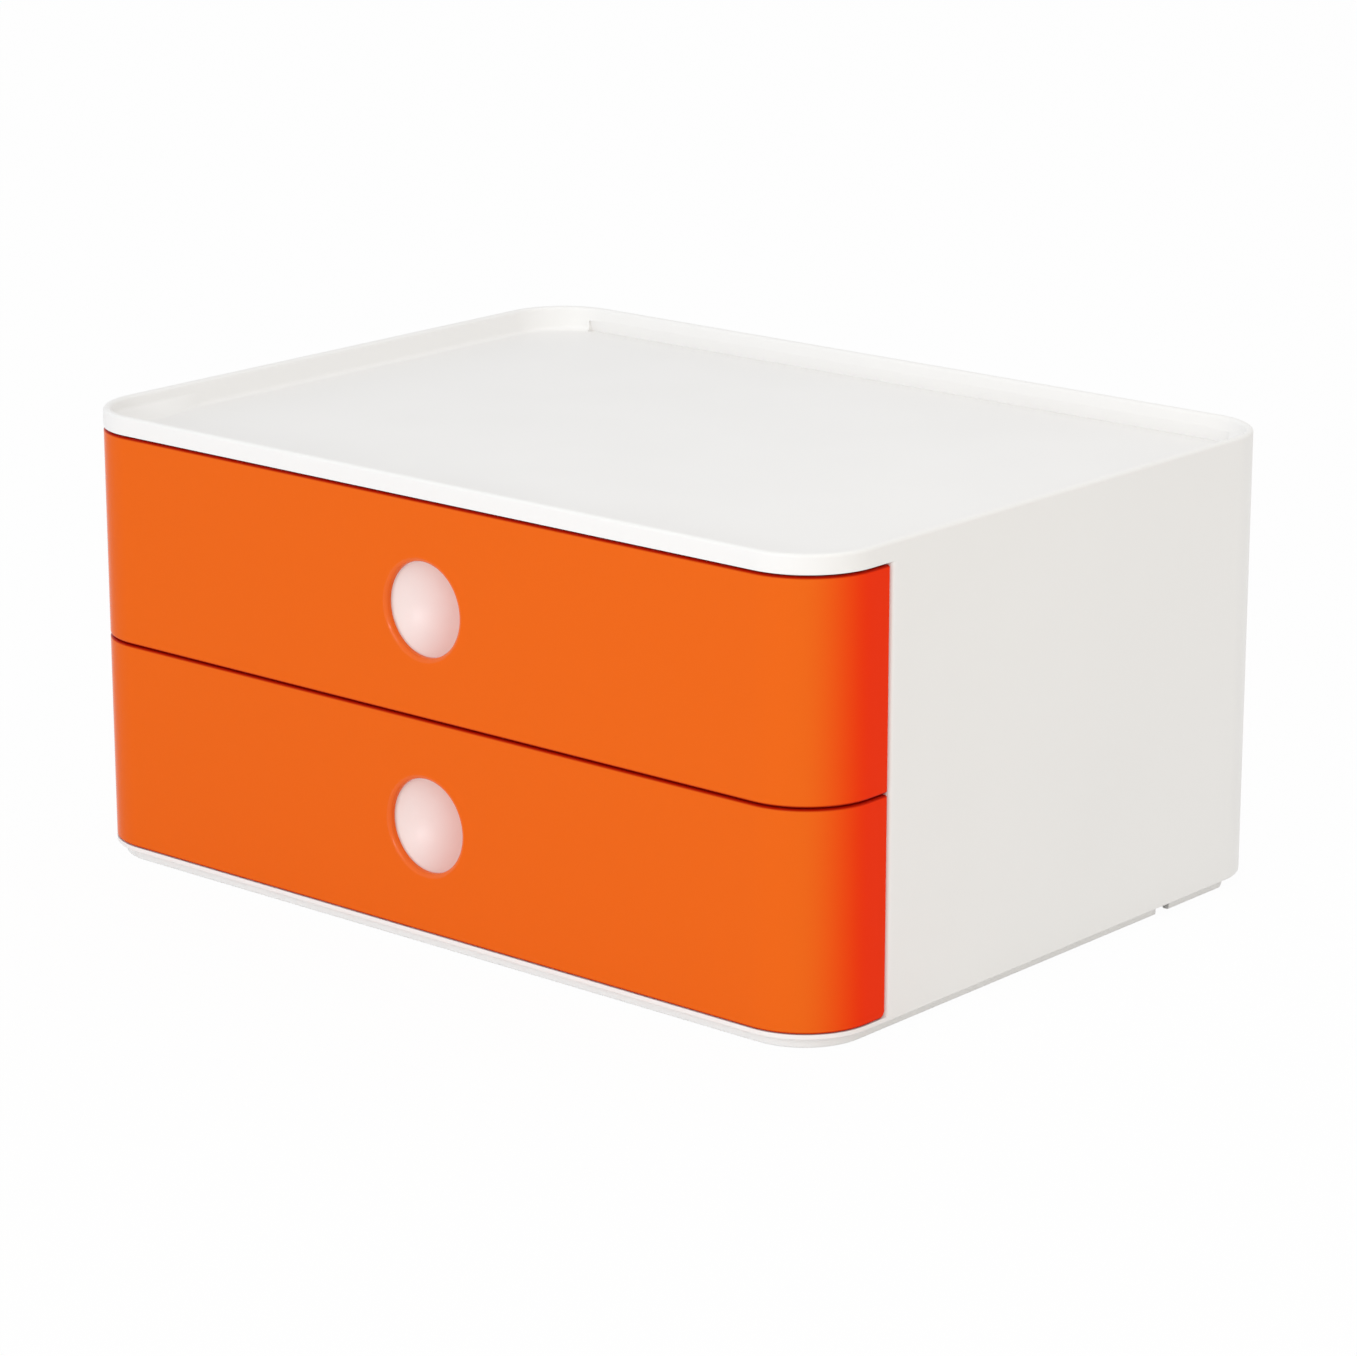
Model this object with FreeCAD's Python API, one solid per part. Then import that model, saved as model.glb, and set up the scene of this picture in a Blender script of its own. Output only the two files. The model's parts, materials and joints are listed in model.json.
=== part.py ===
import FreeCAD, Part
import math
import os

from FreeCAD import Vector

# Two-drawer desk box, millimetres, +Z up.
# The origin is under the middle of the box, on the surface that its feet stand on.
# The finger holes face -Y and the drawers open that way.

# Housing in plan
width = 260.0
depth = 195.0
corner_radius = 20.0
wall = 2.2
wall_edge_round = 1.6

# Heights, from the table up
foot_proud = 0.2
ring_height = 3.0
lip_height = 1.3
lip_gap = 0.35
front_height = 57.0
front_gap = 0.75
rim_band = 5.05
drawer_count = 2

# Tray moulded into the top
tray_recess = 7.2
top_thickness = 2.3
rim_straight = 3.2
rim_bevel = 0.6
recess_floor_bevel = 1.2
recess_runout = 20.0
groove_height = 3.3
groove_depth = 1.0
groove_end_inset = 15.2

# Flange round the bottom of the housing, and the foot ring below it
flange_width = 8.0
ring_inset = 2.5
ring_wall = 2.0
ring_bevel = 0.5
ring_notch_length = 6.0
ring_notch_setback = 45.9
ring_rear_setback = 16.8
ring_end_slope = 2.3

# Base plate that lies on the flange
base_thickness = 1.8
base_clearance = 0.1
underside_rib = 1.4
underside_rib_depth = 2.0
underside_rib_share = 0.4

# Rubber feet in their collars
foot_radius = 6.0
foot_bevel = 0.8
foot_inset = 26.0
foot_clearance = 0.2
collar_wall = 1.5
collar_depth = 2.8

# Shelf between the drawers, the ledge that carries it, and the lugs that hold plates down
shelf_thickness = 2.0
shelf_clearance = 0.1
shelf_lip_depth = 2.2
ledge_thickness = 1.6
ledge_reach = 1.6
ledge_setback = 2.0
lug_length = 12.0
lug_height = 1.5
lug_reach = 1.2
lug_margin = 4.0

# Glides under the drawers and guides over their side walls
glide_width = 4.0
glide_height = 1.0
glide_inset = 48.0
glide_clearance = 0.2
glide_end_margin = 12.0
guide_width = 2.0
guide_clearance = 0.4

# Coloured drawer fronts
wrap_depth = 27.5
wrap_gap = 0.35
front_thickness = 1.8
front_edge_bevel = 0.4
front_corner_round = 0.8
low_corner_round = 2.0
panel_gap = 0.5

# Finger hole, and the dish behind it in the drawer tray's front wall
hole_radius = 12.6
hole_lip_bevel = 0.8
dish_mouth_radius = 13.4
dish_depth = 7.0
dish_wall = 1.6

# Drawer trays
drawer_side_gap = 2.2
drawer_rear_gap = 2.5
drawer_headroom = 6.55
drawer_wall = 2.0
drawer_corner_radius = 16.0
drawer_foot_bevel = 1.5
drawer_floor_bevel = 2.0
drawer_edge_bevel = 0.5

# Hooks that hold a front on its tray
hook_inset = 60.0
hook_width = 10.0
hook_thickness = 1.4
hook_catch = 0.8
hook_nose = 1.6
hook_margin = 10.0
hook_clearance = 0.2

# Stops on the housing walls, and the drawer's catches that end its travel there
catch_setback = 25.15
stop_clearance = 0.3
stop_reach = 1.6
stop_length = 3.0
stop_ramp = 1.5
stop_height = 8.0
stop_setback = 3.0
stop_level = 22.0

# Tools of the modelling: how far a cut runs past what it cuts, and how near is the same place
overrun = 5.0
same_place = 0.001

# Levels worked out from the sizes above
wall_bottom = foot_proud + ring_height
lip_top = wall_bottom + lip_height
base_top = lip_top + base_thickness
first_front_bottom = lip_top + lip_gap
drawer_pitch = front_height + front_gap
rim_bottom = first_front_bottom + drawer_count * drawer_pitch
height = rim_bottom + rim_band
recess_floor = height - tray_recess
top_underside = recess_floor - top_thickness
first_drawer_bottom = base_top + glide_height + glide_clearance
drawer_height = drawer_pitch - glide_height - glide_clearance - shelf_thickness - drawer_headroom

# Plan places worked out from the sizes above
side_x = width / 2
front_y = -depth / 2
rear_y = depth / 2
inner_x = side_x - wall
inner_rear_y = rear_y - wall
inner_corner = corner_radius - wall
wrap_end_y = front_y + wrap_depth
wall_front_y = wrap_end_y + wrap_gap
panel_back_y = front_y + front_thickness
recess_inset = front_thickness + panel_gap
drawer_half_width = inner_x - drawer_side_gap
drawer_rear_y = inner_rear_y - drawer_rear_gap
glide_half_length = depth / 2 - glide_end_margin
dish_sphere_radius = (dish_mouth_radius ** 2 + dish_depth ** 2) / (2 * dish_depth)
stop_far_y = wall_front_y + stop_setback + stop_length
catch_near_y = drawer_rear_y - catch_setback - stop_length
drawer_travel = catch_near_y - stop_far_y - stop_clearance


def rounded_face(corners):
    """Flat face whose corners (x, y, radius) are joined by tangent arcs. Corners in one place count once."""
    corners = [corner for index, corner in enumerate(corners)
               if math.dist(corner[:2], corners[index - 1][:2]) > same_place]
    starts = []
    ends = []
    middles = []
    for index, (x, y, radius) in enumerate(corners):
        here = Vector(x, y, 0)
        before = Vector(*corners[index - 1][:2], 0)
        after = Vector(*corners[(index + 1) % len(corners)][:2], 0)
        to_before = (before - here).normalize()
        to_after = (after - here).normalize()
        half_angle = to_before.getAngle(to_after) / 2
        reach = radius / math.tan(half_angle)
        starts.append(here + to_before * reach)
        ends.append(here + to_after * reach)
        middles.append(here)
        if radius > 0:
            bisector = (to_before + to_after).normalize()
            middles[-1] += bisector * (radius / math.sin(half_angle) - radius)
    edges = []
    for index, (x, y, radius) in enumerate(corners):
        if ends[index - 1].distanceToPoint(starts[index]) > same_place:
            edges.append(Part.LineSegment(ends[index - 1], starts[index]).toShape())
        if radius > 0:
            edges.append(Part.Arc(starts[index], middles[index], ends[index]).toShape())
    return Part.Face(Part.Wire(edges))


def slab(corners, low, high):
    """Upright prism over an outline, from one height to another."""
    shape = rounded_face(corners).extrude(Vector(0, 0, high - low))
    shape.translate(Vector(0, 0, low))
    return shape


def both_sides(right_half):
    """Whole outline from its right half, listed from the front to the rear."""
    return right_half + [(-x, y, radius) for x, y, radius in reversed(right_half)]


def plan(inset):
    """Outline of the box in plan, drawn in by an inset."""
    radius = corner_radius - inset
    return both_sides([(side_x - inset, front_y + inset, radius), (side_x - inset, rear_y - inset, radius)])


def stepped_plan(front_inset, side_inset, step_y, slope):
    """Outline with one inset behind the drawer fronts and another between the housing walls."""
    return both_sides([
        (side_x - front_inset, front_y + front_inset, corner_radius - front_inset),
        (side_x - front_inset, step_y, 0),
        (side_x - side_inset, step_y + slope, 0),
        (side_x - side_inset, rear_y - side_inset, corner_radius - side_inset),
    ])


def plate_outline(clearance):
    """Outline of a plate that lies between the walls and behind the fronts."""
    side_inset = wall + clearance
    front_inset = max(recess_inset, side_inset)
    return stepped_plan(front_inset, side_inset, wall_front_y, front_inset - side_inset)


def block(x_range, y_range, z_range):
    """Straight block between three pairs of coordinates."""
    low = Vector(min(x_range), min(y_range), min(z_range))
    high = Vector(max(x_range), max(y_range), max(z_range))
    size = high - low
    return Part.makeBox(size.x, size.y, size.z, low)


def edges_at(shape, level):
    """Edges that lie flat at one height."""
    box_of = [(edge, edge.BoundBox) for edge in shape.Edges]
    return [edge for edge, box in box_of
            if abs(box.ZMin - level) < same_place and abs(box.ZMax - level) < same_place]


def one_solid(shape):
    """The single solid that a fusion or a cut leaves, with seams between flush faces removed."""
    clean = shape.removeSplitter()
    return clean.Solids[0] if len(clean.Solids) == 1 else clean


def drawer_lift(index):
    """Height of one drawer above the lowest one."""
    return index * drawer_pitch


def wall_ledge(top):
    """Ledge that runs round the inside of the housing walls, to carry a plate."""
    reach = wall + ledge_reach
    outside = slab(plan(wall / 2), top - ledge_thickness, top)
    ledge = outside.cut(slab(plan(reach), top - ledge_thickness - overrun, top + overrun))
    start_y = wall_front_y + ledge_setback
    keep = block((-width, width), (start_y, depth), (0, height))
    return ledge.common(keep)


def wall_lugs(plate_top):
    """Small lugs on the side walls that a plate snaps in under."""
    first_y = wall_front_y + lug_margin
    last_y = rear_y - corner_radius - lug_margin - lug_length
    lugs = []
    for side in (-1, 1):
        for start_y in (first_y, (first_y + last_y) / 2, last_y):
            x_range = (side * (inner_x - lug_reach), side * (inner_x + wall / 2))
            lugs.append(block(x_range, (start_y, start_y + lug_length), (plate_top, plate_top + lug_height)))
    return lugs


def wall_stops(index):
    """Two ramped stops inside the side walls, that a drawer's catches run up to."""
    low = first_drawer_bottom + drawer_lift(index) + stop_level
    near_y = stop_far_y - stop_length
    corners = [
        (inner_x + wall / 2, near_y, 0),
        (inner_x, near_y, 0),
        (inner_x - stop_reach, near_y + stop_ramp, 0),
        (inner_x - stop_reach, stop_far_y, 0),
        (inner_x + wall / 2, stop_far_y, 0),
    ]
    stop = slab(corners, low, low + stop_height)
    return [stop, stop.mirror(Vector(0, 0, 0), Vector(1, 0, 0))]


def tilt_guides(ceiling, drawer_top):
    """Two ribs under a ceiling that keep the drawer below from tipping."""
    middle_x = drawer_half_width - drawer_wall / 2
    y_range = (panel_back_y + drawer_corner_radius, drawer_rear_y - drawer_corner_radius)
    guides = []
    for side in (-1, 1):
        x_range = (side * middle_x - guide_width / 2, side * middle_x + guide_width / 2)
        guides.append(block(x_range, y_range, (drawer_top + guide_clearance, ceiling)))
    return guides


def glides(top):
    """Low ribs on a plate, for the drawer above to run on."""
    ribs = []
    for middle_x in (-inner_x + glide_inset, 0, inner_x - glide_inset):
        x_range = (middle_x - glide_width / 2, middle_x + glide_width / 2)
        ribs.append(block(x_range, (-glide_half_length, glide_half_length), (top, top + glide_height)))
    return ribs


def recess_tool():
    """Hollow of the top tray. Its wall leans in behind the fronts, to leave room for them."""
    foot_inset_there = recess_inset + wall
    sections = []
    for level, front_inset, side_inset in (
            (height + overrun, wall, wall),
            (height - rim_straight, wall, wall),
            (recess_floor + recess_floor_bevel, foot_inset_there, wall),
            (recess_floor, foot_inset_there + recess_floor_bevel, wall + recess_floor_bevel)):
        outline = rounded_face(stepped_plan(front_inset, side_inset, wall_front_y, recess_runout)).OuterWire
        outline.translate(Vector(0, 0, level))
        sections.append(outline)
    return Part.makeLoft(sections, True, True)


def rear_groove():
    """Low groove along the foot of the tray's rear wall."""
    end_x = side_x - groove_end_inset
    y_range = (inner_rear_y - recess_floor_bevel, inner_rear_y + groove_depth)
    return block((-end_x, end_x), y_range, (recess_floor, recess_floor + groove_height))


def side_prism(profile, x_range):
    """Prism along X over a side view, listed as (y, z)."""
    corners = [Vector(x_range[0], y, z) for y, z in profile]
    return Part.Face(Part.makePolygon(corners + corners[:1])).extrude(Vector(x_range[1] - x_range[0], 0, 0))


def foot_ring():
    """Ring below the flange, open at the rear and notched at both sides, that drops into the rim of a box below."""
    ring = slab(plan(ring_inset), foot_proud, wall_bottom)
    ring = ring.makeChamfer(ring_bevel, edges_at(ring, foot_proud))
    ring = ring.cut(slab(plan(ring_inset + ring_wall), foot_proud - overrun, wall_bottom + overrun))
    middle_y = rear_y - ring_notch_setback
    notch_y = (middle_y - ring_notch_length / 2, middle_y + ring_notch_length / 2)
    notch = block((-width, width), notch_y, (foot_proud - overrun, wall_bottom))
    end_y = rear_y - ring_rear_setback
    behind_end = side_prism([
        (end_y, wall_bottom),
        (end_y - ring_end_slope, foot_proud),
        (end_y - ring_end_slope, foot_proud - overrun),
        (depth, foot_proud - overrun),
        (depth, wall_bottom),
    ], (-width, width))
    return ring.cut([notch, behind_end])


def bottom_flange():
    """Flange round the bottom, whose front is the lip under the lowest front."""
    outside = slab(plan(0), wall_bottom, lip_top)
    return outside.cut(slab(plan(flange_width), wall_bottom - overrun, lip_top + overrun))


def make_housing_shell():
    """Side walls, rear wall, bottom flange and top tray with its rim, in one moulding."""
    walls = slab([
        (side_x, wall_front_y, wall_edge_round),
        (side_x, rear_y, corner_radius),
        (-side_x, rear_y, corner_radius),
        (-side_x, wall_front_y, wall_edge_round),
        (-inner_x, wall_front_y, 0),
        (-inner_x, inner_rear_y, inner_corner),
        (inner_x, inner_rear_y, inner_corner),
        (inner_x, wall_front_y, 0),
    ], wall_bottom, height)
    rim = slab(plan(0), rim_bottom, height)
    top_outline = stepped_plan(recess_inset, wall / 2, wall_front_y, recess_inset)
    top = slab(top_outline, top_underside, rim_bottom)
    shell = walls.fuse([rim, top]).cut([recess_tool(), rear_groove()])
    shell = one_solid(shell)
    shell = shell.makeChamfer(rim_bevel, edges_at(shell, height))
    shelf_bottom = base_top + drawer_pitch - shelf_thickness
    extras = [bottom_flange(), *foot_ring().Solids, wall_ledge(shelf_bottom)]
    for index in range(drawer_count):
        extras += wall_stops(index)
        extras += wall_lugs(base_top + drawer_lift(index))
    upper_drawer_top = first_drawer_bottom + drawer_lift(drawer_count - 1) + drawer_height
    extras += tilt_guides(top_underside, upper_drawer_top)
    return one_solid(shell.fuse(extras))


def foot_places():
    """Names and middles of the four feet."""
    return [(f"foot_{end}_{side}", Vector(sign_x * (side_x - foot_inset), sign_y * (rear_y - foot_inset), 0))
            for end, sign_y in (("front", -1), ("rear", 1))
            for side, sign_x in (("left", -1), ("right", 1))]


def make_base_plate():
    """Floor of the housing, with ribs and the collars of the feet below."""
    pieces = [slab(plate_outline(base_clearance), lip_top, base_top), *glides(base_top)]
    reach_x = side_x - flange_width - base_clearance
    reach_y = depth / 2 - flange_width - base_clearance
    rib_levels = (lip_top - underside_rib_depth, lip_top)
    for share in (-underside_rib_share, underside_rib_share):
        along = (share * reach_x - underside_rib / 2, share * reach_x + underside_rib / 2)
        across = (share * reach_y - underside_rib / 2, share * reach_y + underside_rib / 2)
        pieces.append(block(along, (-reach_y, reach_y), rib_levels))
        pieces.append(block((-reach_x, reach_x), across, rib_levels))
    pocket = foot_radius + foot_clearance
    for _, place in foot_places():
        start = place + Vector(0, 0, lip_top - collar_depth)
        collar = Part.makeCylinder(pocket + collar_wall, collar_depth, start)
        pieces.append(collar.cut(Part.makeCylinder(pocket, collar_depth, start)))
    return one_solid(pieces[0].fuse(pieces[1:]))


def make_foot(place):
    """Rubber foot that fills its collar and stands proud of the ring."""
    foot = Part.makeCylinder(foot_radius, lip_top, place)
    return foot.makeChamfer(foot_bevel, edges_at(foot, 0))


def make_middle_shelf():
    """Shelf that carries the upper drawer and guides the lower one."""
    top = base_top + drawer_pitch
    bottom = top - shelf_thickness
    shelf = slab(plate_outline(shelf_clearance), bottom, top)
    lip_front = slab(plan(recess_inset), bottom - shelf_lip_depth, bottom)
    lip = lip_front.cut(slab(plan(recess_inset + shelf_thickness), bottom - shelf_lip_depth - overrun, top))
    half_flat = side_x - corner_radius
    lip = lip.common(block((-half_flat, half_flat), (front_y, 0), (0, height)))
    drawer_top = first_drawer_bottom + drawer_height
    return one_solid(shelf.fuse([lip, *glides(top), *tilt_guides(bottom, drawer_top)]))


def hook_places():
    """Middles of the hooks across the front."""
    return (-side_x + hook_inset, side_x - hook_inset)


def hook_levels(lift):
    """Heights of the undersides of the hooks on one drawer."""
    floor = first_drawer_bottom + lift
    return [floor + hook_margin, floor + drawer_height - hook_margin]


def make_hook(middle_x, level):
    """Snap hook on the back of a front, reaching through the tray's wall."""
    catch_y = panel_back_y + drawer_wall + hook_clearance
    root_y = panel_back_y - front_thickness / 2
    return side_prism([
        (root_y, level),
        (catch_y, level),
        (catch_y, level - hook_catch),
        (catch_y + hook_nose, level),
        (catch_y + hook_nose, level + hook_thickness),
        (root_y, level + hook_thickness),
    ], (middle_x - hook_width / 2, middle_x + hook_width / 2))


def hole_middle(lift):
    """Height of the middle of the finger hole."""
    return first_front_bottom + lift + front_height / 2


def disc(radius, start_y, end_y, level):
    """Round bar along Y, centred on the finger hole."""
    return Part.makeCylinder(radius, end_y - start_y, Vector(0, start_y, level), Vector(0, 1, 0))


def make_drawer_front(lift, bottom_round):
    """Glossy front that wraps both front corners of the box, with its finger hole."""
    low = first_front_bottom + lift
    high = low + front_height
    back_x = side_x - front_thickness
    front = slab([
        (side_x, wrap_end_y, 0),
        (side_x, front_y, corner_radius),
        (-side_x, front_y, corner_radius),
        (-side_x, wrap_end_y, 0),
        (-back_x, wrap_end_y, 0),
        (-back_x, panel_back_y, corner_radius - front_thickness),
        (back_x, panel_back_y, corner_radius - front_thickness),
        (back_x, wrap_end_y, 0),
    ], low, high)

    for level, radius in ((low, bottom_round), (high, front_corner_round)):
        ends = [edge for edge in edges_at(front, level)
                if abs(edge.BoundBox.YMin - wrap_end_y) < same_place
                and abs(edge.BoundBox.YMax - wrap_end_y) < same_place]
        front = front.makeFillet(radius, ends)
    border = []
    for edge in front.Edges:
        middle = edge.valueAt((edge.FirstParameter + edge.LastParameter) / 2)
        if on_outer_face(middle) and (edge.BoundBox.ZLength < same_place or middle.y > front_y + corner_radius):
            border.append(edge)
    front = front.makeChamfer(front_edge_bevel, border)

    level = hole_middle(lift)
    front = front.cut(disc(hole_radius, front_y - overrun, panel_back_y + overrun, level))
    rim_edges = [edge for edge in front.Edges
                 if abs(edge.BoundBox.YMax - front_y) < same_place and edge.BoundBox.XLength < 3 * hole_radius]
    front = front.makeChamfer(hole_lip_bevel, rim_edges)

    hooks = [make_hook(x, z) for x in hook_places() for z in hook_levels(lift)]
    return one_solid(front.fuse(hooks))


def on_outer_face(point):
    """Whether a point lies on the outer plan outline of the box."""
    x = abs(point.x)
    corner_x = side_x - corner_radius
    corner_y = front_y + corner_radius
    if x > corner_x and point.y < corner_y:
        return abs(math.hypot(x - corner_x, point.y - corner_y) - corner_radius) < same_place
    return abs(x - side_x) < same_place or abs(point.y - front_y) < same_place


def dish_ball(extra, lift):
    """Ball that the dish is part of, made larger by an extra radius."""
    middle_y = panel_back_y + dish_depth - dish_sphere_radius
    return Part.makeSphere(dish_sphere_radius + extra, Vector(0, middle_y, hole_middle(lift)))


def make_drawer_tray(lift):
    """Open drawer tray with the dish in its front wall, slots for the hooks and two catches."""
    low = first_drawer_bottom + lift
    high = low + drawer_height

    def tray_outline(inset):
        radius = drawer_corner_radius - inset
        x = drawer_half_width - inset
        return both_sides([(x, panel_back_y + inset, radius), (x, drawer_rear_y - inset, radius)])

    tray = slab(tray_outline(0), low, high)
    tray = tray.makeChamfer(drawer_foot_bevel, edges_at(tray, low))
    floor = low + drawer_wall
    hollow = slab(tray_outline(drawer_wall), floor, high + overrun)
    hollow = hollow.makeChamfer(drawer_floor_bevel, edges_at(hollow, floor))
    tray = tray.cut(hollow)
    tray = tray.makeChamfer(drawer_edge_bevel, edges_at(tray, high))

    behind_wall = disc(2 * dish_sphere_radius, panel_back_y + drawer_wall / 2, depth, hole_middle(lift))
    tray = tray.fuse(dish_ball(dish_wall, lift).common(behind_wall)).cut(dish_ball(0, lift))
    for hook_x in hook_places():
        for hook_level in hook_levels(lift):
            x_range = (hook_x - hook_width / 2 - hook_clearance, hook_x + hook_width / 2 + hook_clearance)
            z_range = (hook_level - hook_clearance, hook_level + hook_thickness + hook_catch + hook_clearance)
            tray = tray.cut(block(x_range, (panel_back_y - overrun, panel_back_y + 2 * drawer_wall), z_range))

    far_y = catch_near_y + stop_length
    catch_level = low + stop_level
    catch = slab([
        (drawer_half_width - drawer_wall / 2, catch_near_y, 0),
        (drawer_half_width + stop_reach, catch_near_y, 0),
        (drawer_half_width + stop_reach, far_y - stop_ramp, 0),
        (drawer_half_width, far_y, 0),
        (drawer_half_width - drawer_wall / 2, far_y, 0),
    ], catch_level, catch_level + stop_height)
    catches = [catch, catch.mirror(Vector(0, 0, 0), Vector(1, 0, 0))]
    return one_solid(tray.fuse(catches))


def make_nodes():
    """Every separate piece of the box, by name."""
    nodes = {
        "housing_shell": make_housing_shell(),
        "base_plate": make_base_plate(),
        "middle_shelf": make_middle_shelf(),
    }
    for name, place in foot_places():
        nodes[name] = make_foot(place)
    for index, name in enumerate(("lower", "upper")):
        lift = drawer_lift(index)
        bottom_round = low_corner_round if index == 0 else front_corner_round
        nodes[f"{name}_drawer_front"] = make_drawer_front(lift, bottom_round)
        nodes[f"{name}_drawer_tray"] = make_drawer_tray(lift)
    return nodes


print(f"drawer travel {drawer_travel:.2f}")
os.makedirs("parts", exist_ok=True)
for node_name, node_shape in make_nodes().items():
    node_shape.exportStep(f"parts/{node_name}.step")
    box = node_shape.BoundBox
    print(f"{node_name}: {len(node_shape.Solids)} solid, valid {node_shape.isValid()}, "
          f"volume {node_shape.Volume:.0f}, z {box.ZMin:.2f} to {box.ZMax:.2f}")
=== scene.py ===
import json
import math

import bmesh
import bpy
from mathutils import Matrix, Vector


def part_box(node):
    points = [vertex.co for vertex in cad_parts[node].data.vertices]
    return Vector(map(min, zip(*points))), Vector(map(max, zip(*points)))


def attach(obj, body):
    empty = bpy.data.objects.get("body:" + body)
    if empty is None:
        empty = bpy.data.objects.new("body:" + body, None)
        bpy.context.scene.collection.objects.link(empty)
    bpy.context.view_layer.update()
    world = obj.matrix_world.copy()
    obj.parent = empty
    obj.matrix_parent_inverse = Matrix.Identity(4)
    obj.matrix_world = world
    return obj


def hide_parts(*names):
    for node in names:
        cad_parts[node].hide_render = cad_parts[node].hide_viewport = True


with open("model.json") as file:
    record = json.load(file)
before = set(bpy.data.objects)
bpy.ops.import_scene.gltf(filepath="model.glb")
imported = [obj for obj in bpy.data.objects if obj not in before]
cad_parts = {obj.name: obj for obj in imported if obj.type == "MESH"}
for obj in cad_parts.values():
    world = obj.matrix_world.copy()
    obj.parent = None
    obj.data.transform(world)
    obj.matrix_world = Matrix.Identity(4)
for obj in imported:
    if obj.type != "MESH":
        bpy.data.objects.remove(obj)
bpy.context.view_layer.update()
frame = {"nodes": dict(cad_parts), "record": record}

# Looks of a two-drawer desk box: white housing, two glossy orange fronts, white drawer trays.
# Lengths are in metres. MM turns the millimetres of the mouldings into them.
MM = 0.001

# Sizes and places that the frame already holds
shell_low, shell_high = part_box("housing_shell")
upper_front_low, upper_front_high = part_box("upper_drawer_front")
lower_front_low, lower_front_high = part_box("lower_drawer_front")
lower_tray_low, lower_tray_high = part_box("lower_drawer_tray")
upper_tray_low, upper_tray_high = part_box("upper_drawer_tray")
shelf_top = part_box("middle_shelf")[1].z
mount_places = {mount["name"]: Vector(mount["pos_m"]) for mount in frame["record"]["mounts"]}
half_width = shell_high.x
front_y = shell_low.y
rear_y = shell_high.y
top_z = shell_high.z
ring_bottom = shell_low.z
recess_floor = mount_places["tray_floor"].z
wrap_end_y = upper_front_high.y
drawer_pitch = upper_tray_low.z - lower_tray_low.z
panel_back_y = lower_tray_low.y
drawer_rear_y = lower_tray_high.y

# Housing moulding
corner_radius = 20.0 * MM
wall = 2.2 * MM
wall_end_round = 1.6 * MM
rim_round = 0.9 * MM
rim_underside_gap = 0.75 * MM
rim_straight = 3.2 * MM
top_thickness = 2.3 * MM
panel_gap = 0.5 * MM
lean_round = 1.5 * MM
lean_foot = 1.2 * MM
floor_round = 1.5 * MM
recess_runout = 20.0 * MM
lip_gap = 0.35 * MM
lip_height = 1.3 * MM
flange_width = 8.0 * MM
foot_edge_round = 0.3 * MM
ring_inset = 2.5 * MM
ring_wall = 2.0 * MM
ring_round = 0.5 * MM
ring_notch_length = 6.0 * MM
ring_notch_setback = 45.9 * MM
ring_rear_setback = 16.8 * MM
ring_end_slope = 2.3 * MM
wrap_gap = 0.35 * MM
groove_height = 3.3 * MM
groove_depth = 1.0 * MM
groove_end_inset = 15.2 * MM

# Ribs and lugs inside the housing, and the thickness of its plates and their glides
base_thickness = 1.8 * MM
shelf_thickness = 2.0 * MM
glide_height = 1.0 * MM
ledge_thickness = 1.6 * MM
ledge_reach = 1.6 * MM
ledge_setback = 2.0 * MM
lug_length = 12.0 * MM
lug_height = 1.5 * MM
lug_reach = 1.2 * MM
lug_margin = 4.0 * MM
guide_width = 2.0 * MM
guide_clearance = 0.4 * MM
stop_reach = 1.6 * MM
stop_length = 3.0 * MM
stop_ramp = 1.5 * MM
stop_height = 8.0 * MM
stop_setback = 3.0 * MM
stop_level = 22.0 * MM

# Drawer fronts. Their rounded edges reach past the frame's bevelled ones by a margin, so that the gaps
# stay narrow, and the lower front reaches a little further down, to the housing's lip.
front_thickness = upper_tray_low.y - front_y
front_edge_round = 0.75 * MM
front_margin = 0.2 * MM
lip_margin = 0.3 * MM
front_corner_round = 0.8 * MM
low_corner_round = 2.0 * MM
hole_radius = 12.6 * MM
hole_lip_round = 1.2 * MM
hook_inset = 60.0 * MM
hook_width = 10.0 * MM
hook_thickness = 1.4 * MM
hook_catch = 0.8 * MM
hook_nose = 1.6 * MM
hook_margin = 10.0 * MM
hook_clearance = 0.2 * MM

# Drawer trays
drawer_wall = 2.0 * MM
drawer_corner_radius = 16.0 * MM
drawer_foot_round = 1.5 * MM
drawer_floor_round = 3.0 * MM
drawer_edge_round = 0.5 * MM
catch_setback = 25.15 * MM
dish_mouth_radius = 13.4 * MM
dish_depth = 7.0 * MM
dish_wall = 1.6 * MM
dish_overrun = 1.4 * MM

# How finely round stretches are drawn
corner_steps = 18
small_round_steps = 5
hole_steps = 96
runout_steps = 8
overrun = 5.0 * MM
weld_distance = 0.001 * MM
crease_angle = math.radians(32)

# Levels and places worked out from the above
rim_bottom = upper_front_high.z + rim_underside_gap
top_underside = recess_floor - top_thickness
lip_top = lower_front_low.z - lip_gap
wall_bottom = lip_top - lip_height
inner_x = half_width - wall
housing_corners = [corner_radius] * 4
recess_inset = front_thickness + panel_gap
front_height = upper_front_high.z - upper_front_low.z + 2 * front_margin
wall_front_y = wrap_end_y + wrap_gap
drawer_half_width = lower_tray_high.x - stop_reach
dish_ball_radius = (dish_mouth_radius ** 2 + dish_depth ** 2) / (2 * dish_depth)
dish_ball_y = panel_back_y + dish_depth - dish_ball_radius


# Outlines and solids

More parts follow.
